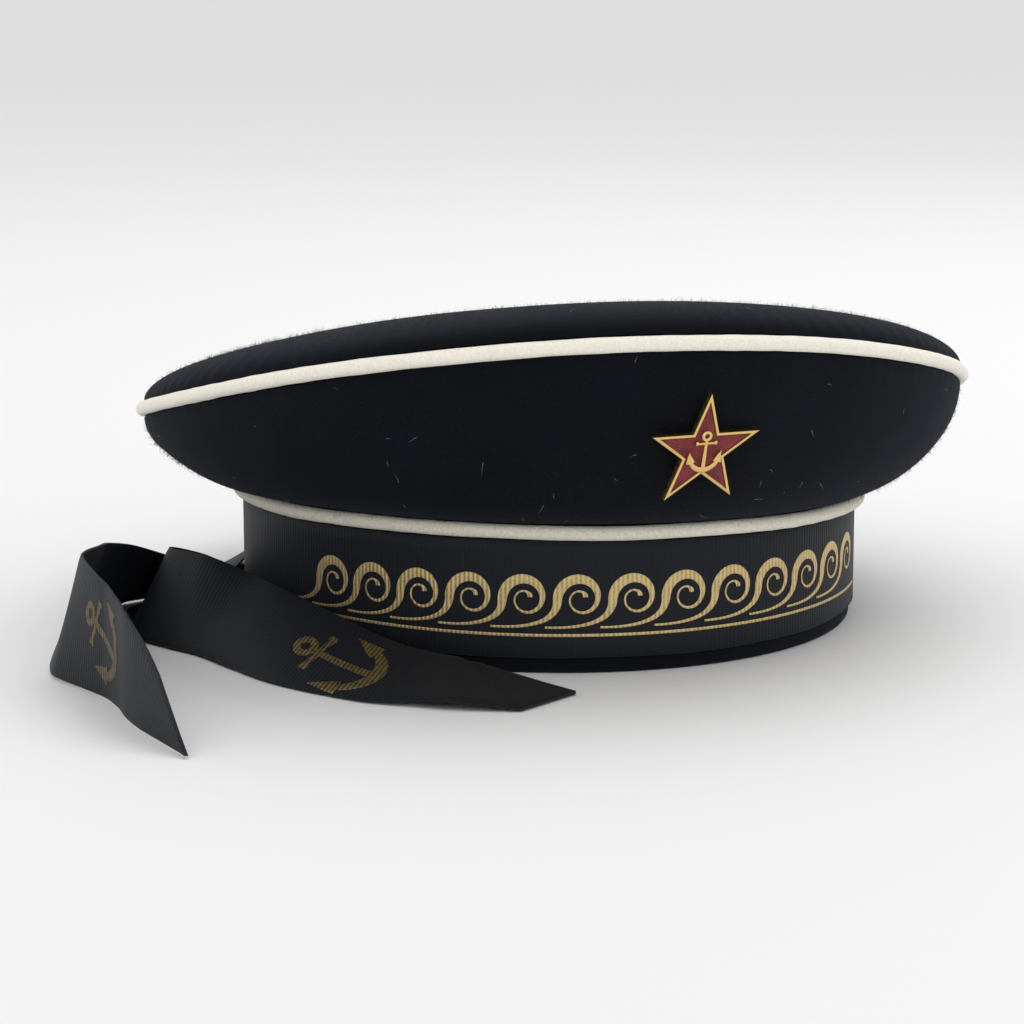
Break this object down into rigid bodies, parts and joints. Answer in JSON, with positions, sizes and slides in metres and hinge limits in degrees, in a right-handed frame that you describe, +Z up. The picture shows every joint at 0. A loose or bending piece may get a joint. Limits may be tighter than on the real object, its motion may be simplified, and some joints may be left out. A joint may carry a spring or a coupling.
{
  "type": "sailor cap",
  "caption": "Round sailor cap of dark wool with a wide floppy crown, cream pipings, a star badge and a ribbed ribbon with long tails.",
  "frame": {"origin": "on the bottom edge of the headband, at its front centre, in the middle of its wall, on the surface the cap rests on", "axes": "+Z up, the front of the cap with the star badge faces -Y, +X to the wearer's left, both ribbon tails lie towards -X and -Y"},
  "size_m": [0.2896, 0.26, 0.1029],
  "materials": {
    "navy_wool": "matte",
    "cream_felt": "matte",
    "ribbed_ribbon": "satin",
    "gilt_brass": "polished",
    "red_enamel": "gloss"
  },
  "bodies": {
    "root": {"headband": "navy_wool", "cap_ribbon": "ribbed_ribbon", "band_piping": "cream_felt", "crown_side": "navy_wool", "rim_piping": "cream_felt", "crown_top": "navy_wool", "ribbon_tail_near": "ribbed_ribbon", "ribbon_tail_far": "ribbed_ribbon", "badge_star": "gilt_brass", "badge_enamel": "red_enamel", "badge_anchor": "gilt_brass", "badge_pin": "gilt_brass"}
  },
  "joints": []
}
